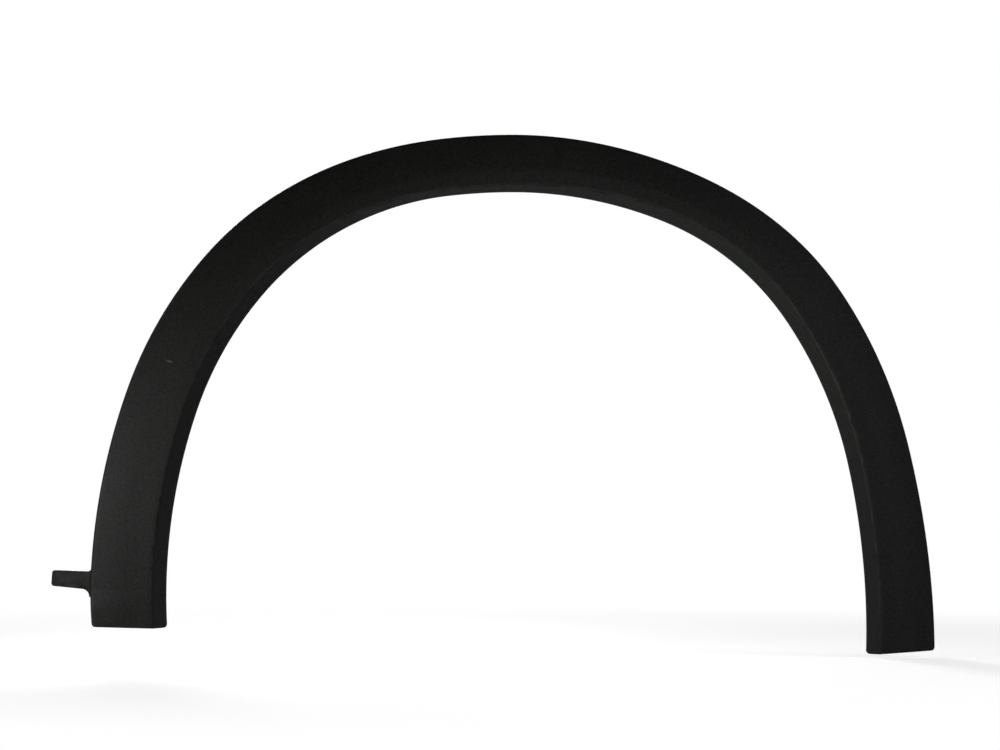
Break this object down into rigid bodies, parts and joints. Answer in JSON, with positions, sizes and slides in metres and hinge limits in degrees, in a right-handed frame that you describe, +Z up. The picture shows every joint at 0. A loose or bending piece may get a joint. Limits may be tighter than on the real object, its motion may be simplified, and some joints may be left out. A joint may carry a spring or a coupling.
{
  "type": "wheel arch trim",
  "caption": "Black grained plastic wheel arch trim with a folded inner lip, a locating tab at its left foot and clip towers on its hidden side.",
  "frame": {"origin": "midway between the two crown clip seats, in the plane where they touch the body panel", "axes": "+X along the car, to the right in the picture; +Y through the trim into the car body; +Z up"},
  "size_m": [0.9382, 0.0494, 0.5508],
  "materials": {
    "black_grained_plastic": "fine grained matte"
  },
  "bodies": {
    "root": {"wheel_arch_trim": "black_grained_plastic"}
  },
  "joints": []
}
